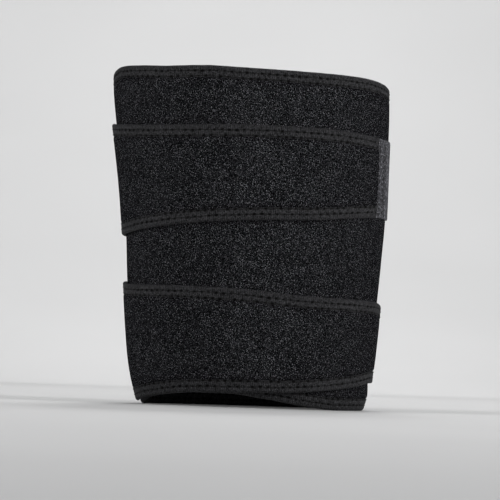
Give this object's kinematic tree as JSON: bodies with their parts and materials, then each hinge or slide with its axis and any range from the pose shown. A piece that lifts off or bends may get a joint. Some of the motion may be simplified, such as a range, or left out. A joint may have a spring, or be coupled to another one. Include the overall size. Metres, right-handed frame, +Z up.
{
  "type": "thigh support",
  "caption": "Wrap-round thigh support: a padded black loop-cloth panel rolled into a tapered oval tube, held by wrap straps with hook tabs and edged in knit tape.",
  "frame": {"origin": "middle of the outline, on the surface that the support stands on", "axes": "+Z up along the tube, front towards -Y, wearer's side with the strap tips towards +X"},
  "size_m": [0.2098, 0.183, 0.249],
  "materials": {
    "loop_cloth": "matte brushed loop pile on a foam core",
    "knit_tape": "fine ribbed knit tape",
    "hook_tab": "woven tape with zigzag stitching"
  },
  "bodies": {
    "root": {"panel": "loop_cloth", "panel_top_binding": "knit_tape", "panel_bottom_binding": "knit_tape", "panel_inner_end_binding": "knit_tape", "panel_outer_end_binding": "knit_tape", "upper_strap": "loop_cloth", "upper_strap_top_binding": "knit_tape", "upper_strap_bottom_binding": "knit_tape", "upper_strap_end_tab": "hook_tab", "lower_strap": "loop_cloth", "lower_strap_top_binding": "knit_tape", "lower_strap_bottom_binding": "knit_tape", "lower_strap_end_tab": "hook_tab"}
  },
  "joints": []
}
